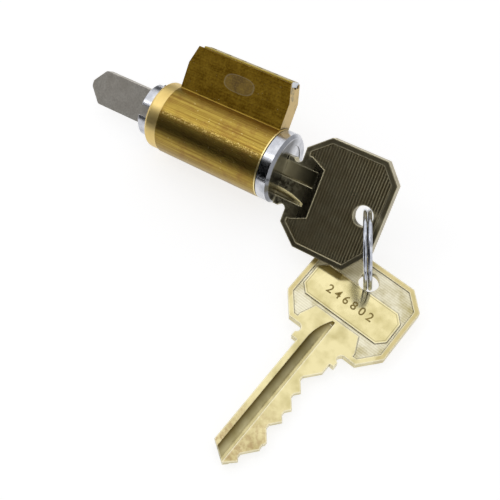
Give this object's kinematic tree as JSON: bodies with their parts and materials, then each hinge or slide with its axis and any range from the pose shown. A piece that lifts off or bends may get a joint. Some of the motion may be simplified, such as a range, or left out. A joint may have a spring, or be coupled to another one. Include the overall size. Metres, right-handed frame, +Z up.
{
  "type": "lock cylinder",
  "caption": "Brass pin tumbler cylinder with a tall fin, turned by an inserted key whose tailpiece drives the lock; a spare key hangs from it on a small split ring.",
  "frame": {"origin": "on the plug's axis in the middle of the rear collar", "axes": "+Z up from the table the set lies on, +X level along the barrel towards the key, +Y to the side the fin leans to"},
  "size_m": [0.0915, 0.0725, 0.0244],
  "materials": {
    "shell": "drawn brass, fine lengthwise lines, satin",
    "pin_cover": "rolled brass strip with staked dots",
    "plug": "turned and nickel plated, bright",
    "rear_collar": "turned satin brass",
    "pin_steel": "ground steel",
    "tailpiece": "tumbled steel, matte grey",
    "key_pins": "turned brass",
    "driver_pins": "turned nickel silver",
    "spring_steel": "bright spring wire",
    "key": "nickel silver, polished with fine ribs",
    "spare_key": "nickel silver, finely grained field",
    "key_ring": "bright hardened steel wire"
  },
  "bodies": {
    "housing": {"shell": "shell", "pin_cover": "pin_cover", "pin_spring_1": "spring_steel", "pin_spring_2": "spring_steel", "pin_spring_3": "spring_steel", "pin_spring_4": "spring_steel", "pin_spring_5": "spring_steel", "pin_spring_6": "spring_steel"},
    "plug": {"plug": "plug", "rear_collar": "rear_collar", "collar_pin": "pin_steel", "collar_pin_spring": "spring_steel", "tailpiece": "tailpiece", "tailpiece_pin": "pin_steel", "key_pin_1": "key_pins", "key_pin_2": "key_pins", "key_pin_3": "key_pins", "key_pin_4": "key_pins", "key_pin_5": "key_pins", "key_pin_6": "key_pins"},
    "key": {"key": "key"},
    "ring": {"key_ring": "key_ring"},
    "spare_key": {"spare_key": "spare_key"},
    "driver_1": {"driver_pin_1": "driver_pins"},
    "driver_2": {"driver_pin_2": "driver_pins"},
    "driver_3": {"driver_pin_3": "driver_pins"},
    "driver_4": {"driver_pin_4": "driver_pins"},
    "driver_5": {"driver_pin_5": "driver_pins"},
    "driver_6": {"driver_pin_6": "driver_pins"}
  },
  "joints": [
    {"name": "plug_turn", "type": "hinge", "parent": "housing", "child": "plug", "pos_m": [0, 0, 0], "axis": [0.9912, 0, 0.1324], "continuous": true},
    {"name": "key_slide", "type": "slide", "parent": "plug", "child": "key", "axis": [0.9912, 0, 0.1324], "range_m": [0, 0.03], "deforming": ["key_pin_1", "key_pin_2", "key_pin_3", "key_pin_4", "key_pin_5", "key_pin_6"]},
    {"name": "ring_turn", "type": "hinge", "parent": "key", "child": "ring", "pos_m": [0.0542, -0.0057, 0.00076], "axis": [0.8676, 0.4829, 0.1184], "continuous": true},
    {"name": "spare_key_swing", "type": "hinge", "parent": "key", "child": "spare_key", "pos_m": [0.0542, -0.0057, 0.00076], "axis": [0.8676, 0.4829, 0.1184], "range_deg": [-8, 0]},
    {"name": "driver_lift_1", "type": "slide", "parent": "housing", "child": "driver_1", "axis": [-0.0872, 0.7524, 0.6529], "range_m": [0, 0.0026], "stiffness_N_per_m": 120, "springref_m": -0.004, "deforming": ["pin_spring_1"]},
    {"name": "driver_lift_2", "type": "slide", "parent": "housing", "child": "driver_2", "axis": [-0.0872, 0.7524, 0.6529], "range_m": [0, 0.0026], "stiffness_N_per_m": 120, "springref_m": -0.004, "deforming": ["pin_spring_2"]},
    {"name": "driver_lift_3", "type": "slide", "parent": "housing", "child": "driver_3", "axis": [-0.0872, 0.7524, 0.6529], "range_m": [0, 0.0026], "stiffness_N_per_m": 120, "springref_m": -0.004, "deforming": ["pin_spring_3"]},
    {"name": "driver_lift_4", "type": "slide", "parent": "housing", "child": "driver_4", "axis": [-0.0872, 0.7524, 0.6529], "range_m": [0, 0.0026], "stiffness_N_per_m": 120, "springref_m": -0.004, "deforming": ["pin_spring_4"]},
    {"name": "driver_lift_5", "type": "slide", "parent": "housing", "child": "driver_5", "axis": [-0.0872, 0.7524, 0.6529], "range_m": [0, 0.0026], "stiffness_N_per_m": 120, "springref_m": -0.004, "deforming": ["pin_spring_5"]},
    {"name": "driver_lift_6", "type": "slide", "parent": "housing", "child": "driver_6", "axis": [-0.0872, 0.7524, 0.6529], "range_m": [0, 0.0026], "stiffness_N_per_m": 120, "springref_m": -0.004, "deforming": ["pin_spring_6"]}
  ]
}
